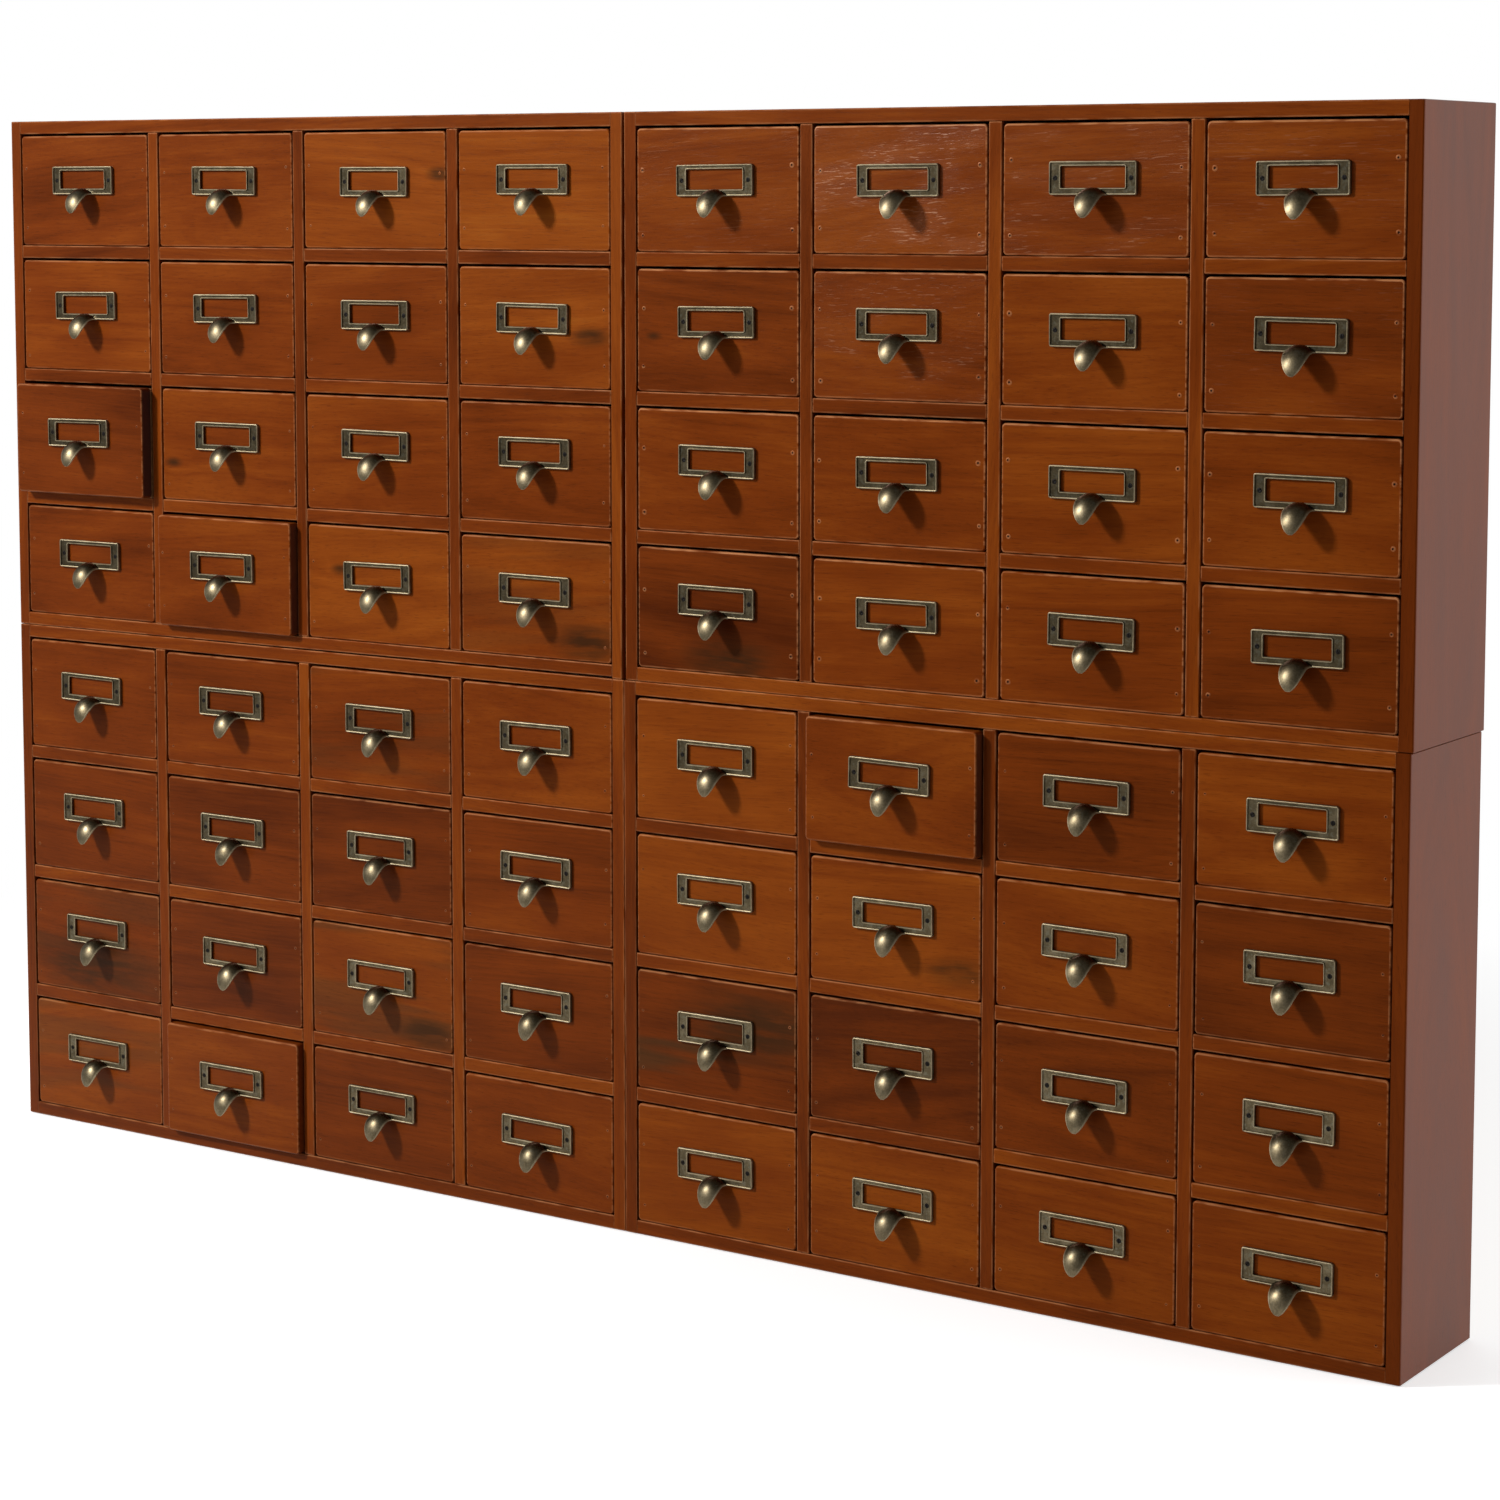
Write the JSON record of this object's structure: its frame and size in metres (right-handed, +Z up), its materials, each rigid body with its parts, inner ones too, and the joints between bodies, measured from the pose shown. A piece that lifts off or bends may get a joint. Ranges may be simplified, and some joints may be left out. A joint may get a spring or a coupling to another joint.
{
  "type": "multi-drawer cabinet",
  "caption": "Wide shallow wooden cabinet stack with a grid of small inset drawers, each with a brass label frame and finger pull.",
  "frame": {"origin": "on the floor, under the middle of the whole outline, pulls included", "axes": "+X to the right along the fronts, +Y from the fronts to the back, +Z up"},
  "size_m": [1.2018, 0.1399, 0.8043],
  "materials": {
    "stained_wood": "semi-gloss",
    "antique_brass": "worn satin",
    "bare_ply": "matte"
  },
  "bodies": {
    "carcasses": {"carcass_lower_left": "stained_wood", "carcass_lower_right": "stained_wood", "carcass_upper_left": "stained_wood", "carcass_upper_right": "stained_wood"},
    "drawer_r2c1": {"drawer_r2c1": "stained_wood"},
    "drawer_r2c2": {"drawer_r2c2": "stained_wood"},
    "drawer_r2c3": {"drawer_r2c3": "stained_wood"},
    "drawer_r2c4": {"drawer_r2c4": "stained_wood"},
    "drawer_r2c5": {"drawer_r2c5": "stained_wood"},
    "drawer_r2c6": {"drawer_r2c6": "stained_wood"},
    "drawer_r2c7": {"drawer_r2c7": "stained_wood"},
    "drawer_r2c8": {"drawer_r2c8": "stained_wood"},
    "drawer_r3c1": {"drawer_r3c1": "stained_wood"},
    "drawer_r3c2": {"drawer_r3c2": "stained_wood"},
    "drawer_r3c3": {"drawer_r3c3": "stained_wood"},
    "drawer_r3c4": {"drawer_r3c4": "stained_wood"},
    "drawer_r3c5": {"drawer_r3c5": "stained_wood"},
    "drawer_r3c6": {"drawer_r3c6": "stained_wood"},
    "drawer_r3c7": {"drawer_r3c7": "stained_wood"},
    "drawer_r3c8": {"drawer_r3c8": "stained_wood"},
    "drawer_r4c1": {"drawer_r4c1": "stained_wood"},
    "drawer_r4c2": {"drawer_r4c2": "stained_wood"},
    "drawer_r4c3": {"drawer_r4c3": "stained_wood"},
    "drawer_r4c4": {"drawer_r4c4": "stained_wood"},
    "drawer_r4c5": {"drawer_r4c5": "stained_wood"},
    "drawer_r4c6": {"drawer_r4c6": "stained_wood"},
    "drawer_r4c7": {"drawer_r4c7": "stained_wood"},
    "drawer_r4c8": {"drawer_r4c8": "stained_wood"},
    "drawer_r5c1": {"drawer_r5c1": "stained_wood"},
    "drawer_r5c2": {"drawer_r5c2": "stained_wood"},
    "drawer_r5c3": {"drawer_r5c3": "stained_wood"},
    "drawer_r5c4": {"drawer_r5c4": "stained_wood"},
    "drawer_r5c5": {"drawer_r5c5": "stained_wood"},
    "drawer_r5c6": {"drawer_r5c6": "stained_wood"},
    "drawer_r5c7": {"drawer_r5c7": "stained_wood"},
    "drawer_r5c8": {"drawer_r5c8": "stained_wood"},
    "drawer_r6c1": {"drawer_r6c1": "stained_wood"},
    "drawer_r6c2": {"drawer_r6c2": "stained_wood"},
    "drawer_r6c3": {"drawer_r6c3": "stained_wood"},
    "drawer_r6c4": {"drawer_r6c4": "stained_wood"},
    "drawer_r6c5": {"drawer_r6c5": "stained_wood"},
    "drawer_r6c6": {"drawer_r6c6": "stained_wood"},
    "drawer_r6c7": {"drawer_r6c7": "stained_wood"},
    "drawer_r6c8": {"drawer_r6c8": "stained_wood"},
    "drawer_r7c1": {"drawer_r7c1": "stained_wood"},
    "drawer_r7c2": {"drawer_r7c2": "stained_wood"},
    "drawer_r7c3": {"drawer_r7c3": "stained_wood"},
    "drawer_r7c4": {"drawer_r7c4": "stained_wood"},
    "drawer_r7c5": {"drawer_r7c5": "stained_wood"},
    "drawer_r7c6": {"drawer_r7c6": "stained_wood"},
    "drawer_r7c7": {"drawer_r7c7": "stained_wood"},
    "drawer_r7c8": {"drawer_r7c8": "stained_wood"},
    "drawer_r8c1": {"drawer_r8c1": "stained_wood"},
    "drawer_r8c2": {"drawer_r8c2": "stained_wood"},
    "drawer_r8c3": {"drawer_r8c3": "stained_wood"},
    "drawer_r8c4": {"drawer_r8c4": "stained_wood"},
    "drawer_r8c5": {"drawer_r8c5": "stained_wood"},
    "drawer_r8c6": {"drawer_r8c6": "stained_wood"},
    "drawer_r8c7": {"drawer_r8c7": "stained_wood"},
    "drawer_r8c8": {"drawer_r8c8": "stained_wood"}
  },
  "joints": [
    {"name": "slide_r2c1", "type": "slide", "parent": "carcasses", "child": "drawer_r2c1", "axis": [0, -1, 0], "range_m": [0, 0.0835]},
    {"name": "slide_r2c2", "type": "slide", "parent": "carcasses", "child": "drawer_r2c2", "axis": [0, -1, 0], "range_m": [0, 0.0835]},
    {"name": "slide_r2c3", "type": "slide", "parent": "carcasses", "child": "drawer_r2c3", "axis": [0, -1, 0], "range_m": [0, 0.0835]},
    {"name": "slide_r2c4", "type": "slide", "parent": "carcasses", "child": "drawer_r2c4", "axis": [0, -1, 0], "range_m": [0, 0.0835]},
    {"name": "slide_r2c5", "type": "slide", "parent": "carcasses", "child": "drawer_r2c5", "axis": [0, -1, 0], "range_m": [0, 0.0835]},
    {"name": "slide_r2c6", "type": "slide", "parent": "carcasses", "child": "drawer_r2c6", "axis": [0, -1, 0], "range_m": [0, 0.0835]},
    {"name": "slide_r2c7", "type": "slide", "parent": "carcasses", "child": "drawer_r2c7", "axis": [0, -1, 0], "range_m": [0, 0.0835]},
    {"name": "slide_r2c8", "type": "slide", "parent": "carcasses", "child": "drawer_r2c8", "axis": [0, -1, 0], "range_m": [0, 0.0835]},
    {"name": "slide_r3c1", "type": "slide", "parent": "carcasses", "child": "drawer_r3c1", "axis": [0, -1, 0], "range_m": [-0.0105, 0.073]},
    {"name": "slide_r3c2", "type": "slide", "parent": "carcasses", "child": "drawer_r3c2", "axis": [0, -1, 0], "range_m": [0, 0.0835]},
    {"name": "slide_r3c3", "type": "slide", "parent": "carcasses", "child": "drawer_r3c3", "axis": [0, -1, 0], "range_m": [0, 0.0835]},
    {"name": "slide_r3c4", "type": "slide", "parent": "carcasses", "child": "drawer_r3c4", "axis": [0, -1, 0], "range_m": [0, 0.0835]},
    {"name": "slide_r3c5", "type": "slide", "parent": "carcasses", "child": "drawer_r3c5", "axis": [0, -1, 0], "range_m": [0, 0.0835]},
    {"name": "slide_r3c6", "type": "slide", "parent": "carcasses", "child": "drawer_r3c6", "axis": [0, -1, 0], "range_m": [0, 0.0835]},
    {"name": "slide_r3c7", "type": "slide", "parent": "carcasses", "child": "drawer_r3c7", "axis": [0, -1, 0], "range_m": [0, 0.0835]},
    {"name": "slide_r3c8", "type": "slide", "parent": "carcasses", "child": "drawer_r3c8", "axis": [0, -1, 0], "range_m": [0, 0.0835]},
    {"name": "slide_r4c1", "type": "slide", "parent": "carcasses", "child": "drawer_r4c1", "axis": [0, -1, 0], "range_m": [0, 0.0835]},
    {"name": "slide_r4c2", "type": "slide", "parent": "carcasses", "child": "drawer_r4c2", "axis": [0, -1, 0], "range_m": [-0.0075, 0.076]},
    {"name": "slide_r4c3", "type": "slide", "parent": "carcasses", "child": "drawer_r4c3", "axis": [0, -1, 0], "range_m": [0, 0.0835]},
    {"name": "slide_r4c4", "type": "slide", "parent": "carcasses", "child": "drawer_r4c4", "axis": [0, -1, 0], "range_m": [0, 0.0835]},
    {"name": "slide_r4c5", "type": "slide", "parent": "carcasses", "child": "drawer_r4c5", "axis": [0, -1, 0], "range_m": [0, 0.0835]},
    {"name": "slide_r4c6", "type": "slide", "parent": "carcasses", "child": "drawer_r4c6", "axis": [0, -1, 0], "range_m": [0, 0.0835]},
    {"name": "slide_r4c7", "type": "slide", "parent": "carcasses", "child": "drawer_r4c7", "axis": [0, -1, 0], "range_m": [0, 0.0835]},
    {"name": "slide_r4c8", "type": "slide", "parent": "carcasses", "child": "drawer_r4c8", "axis": [0, -1, 0], "range_m": [0, 0.0835]},
    {"name": "slide_r5c1", "type": "slide", "parent": "carcasses", "child": "drawer_r5c1", "axis": [0, -1, 0], "range_m": [0, 0.0835]},
    {"name": "slide_r5c2", "type": "slide", "parent": "carcasses", "child": "drawer_r5c2", "axis": [0, -1, 0], "range_m": [0, 0.0835]},
    {"name": "slide_r5c3", "type": "slide", "parent": "carcasses", "child": "drawer_r5c3", "axis": [0, -1, 0], "range_m": [0, 0.0835]},
    {"name": "slide_r5c4", "type": "slide", "parent": "carcasses", "child": "drawer_r5c4", "axis": [0, -1, 0], "range_m": [0, 0.0835]},
    {"name": "slide_r5c5", "type": "slide", "parent": "carcasses", "child": "drawer_r5c5", "axis": [0, -1, 0], "range_m": [0, 0.0835]},
    {"name": "slide_r5c6", "type": "slide", "parent": "carcasses", "child": "drawer_r5c6", "axis": [0, -1, 0], "range_m": [-0.0075, 0.076]},
    {"name": "slide_r5c7", "type": "slide", "parent": "carcasses", "child": "drawer_r5c7", "axis": [0, -1, 0], "range_m": [0, 0.0835]},
    {"name": "slide_r5c8", "type": "slide", "parent": "carcasses", "child": "drawer_r5c8", "axis": [0, -1, 0], "range_m": [0, 0.0835]},
    {"name": "slide_r6c1", "type": "slide", "parent": "carcasses", "child": "drawer_r6c1", "axis": [0, -1, 0], "range_m": [0, 0.0835]},
    {"name": "slide_r6c2", "type": "slide", "parent": "carcasses", "child": "drawer_r6c2", "axis": [0, -1, 0], "range_m": [0, 0.0835]},
    {"name": "slide_r6c3", "type": "slide", "parent": "carcasses", "child": "drawer_r6c3", "axis": [0, -1, 0], "range_m": [0, 0.0835]},
    {"name": "slide_r6c4", "type": "slide", "parent": "carcasses", "child": "drawer_r6c4", "axis": [0, -1, 0], "range_m": [0, 0.0835]},
    {"name": "slide_r6c5", "type": "slide", "parent": "carcasses", "child": "drawer_r6c5", "axis": [0, -1, 0], "range_m": [0, 0.0835]},
    {"name": "slide_r6c6", "type": "slide", "parent": "carcasses", "child": "drawer_r6c6", "axis": [0, -1, 0], "range_m": [0, 0.0835]},
    {"name": "slide_r6c7", "type": "slide", "parent": "carcasses", "child": "drawer_r6c7", "axis": [0, -1, 0], "range_m": [0, 0.0835]},
    {"name": "slide_r6c8", "type": "slide", "parent": "carcasses", "child": "drawer_r6c8", "axis": [0, -1, 0], "range_m": [0, 0.0835]},
    {"name": "slide_r7c1", "type": "slide", "parent": "carcasses", "child": "drawer_r7c1", "axis": [0, -1, 0], "range_m": [0, 0.0835]},
    {"name": "slide_r7c2", "type": "slide", "parent": "carcasses", "child": "drawer_r7c2", "axis": [0, -1, 0], "range_m": [0, 0.0835]},
    {"name": "slide_r7c3", "type": "slide", "parent": "carcasses", "child": "drawer_r7c3", "axis": [0, -1, 0], "range_m": [0, 0.0835]},
    {"name": "slide_r7c4", "type": "slide", "parent": "carcasses", "child": "drawer_r7c4", "axis": [0, -1, 0], "range_m": [0, 0.0835]},
    {"name": "slide_r7c5", "type": "slide", "parent": "carcasses", "child": "drawer_r7c5", "axis": [0, -1, 0], "range_m": [0, 0.0835]},
    {"name": "slide_r7c6", "type": "slide", "parent": "carcasses", "child": "drawer_r7c6", "axis": [0, -1, 0], "range_m": [0, 0.0835]},
    {"name": "slide_r7c7", "type": "slide", "parent": "carcasses", "child": "drawer_r7c7", "axis": [0, -1, 0], "range_m": [0, 0.0835]},
    {"name": "slide_r7c8", "type": "slide", "parent": "carcasses", "child": "drawer_r7c8", "axis": [0, -1, 0], "range_m": [0, 0.0835]},
    {"name": "slide_r8c1", "type": "slide", "parent": "carcasses", "child": "drawer_r8c1", "axis": [0, -1, 0], "range_m": [0, 0.0835]},
    {"name": "slide_r8c2", "type": "slide", "parent": "carcasses", "child": "drawer_r8c2", "axis": [0, -1, 0], "range_m": [-0.006, 0.0775]},
    {"name": "slide_r8c3", "type": "slide", "parent": "carcasses", "child": "drawer_r8c3", "axis": [0, -1, 0], "range_m": [0, 0.0835]},
    {"name": "slide_r8c4", "type": "slide", "parent": "carcasses", "child": "drawer_r8c4", "axis": [0, -1, 0], "range_m": [0, 0.0835]},
    {"name": "slide_r8c5", "type": "slide", "parent": "carcasses", "child": "drawer_r8c5", "axis": [0, -1, 0], "range_m": [0, 0.0835]},
    {"name": "slide_r8c6", "type": "slide", "parent": "carcasses", "child": "drawer_r8c6", "axis": [0, -1, 0], "range_m": [0, 0.0835]},
    {"name": "slide_r8c7", "type": "slide", "parent": "carcasses", "child": "drawer_r8c7", "axis": [0, -1, 0], "range_m": [0, 0.0835]},
    {"name": "slide_r8c8", "type": "slide", "parent": "carcasses", "child": "drawer_r8c8", "axis": [0, -1, 0], "range_m": [0, 0.0835]}
  ]
}
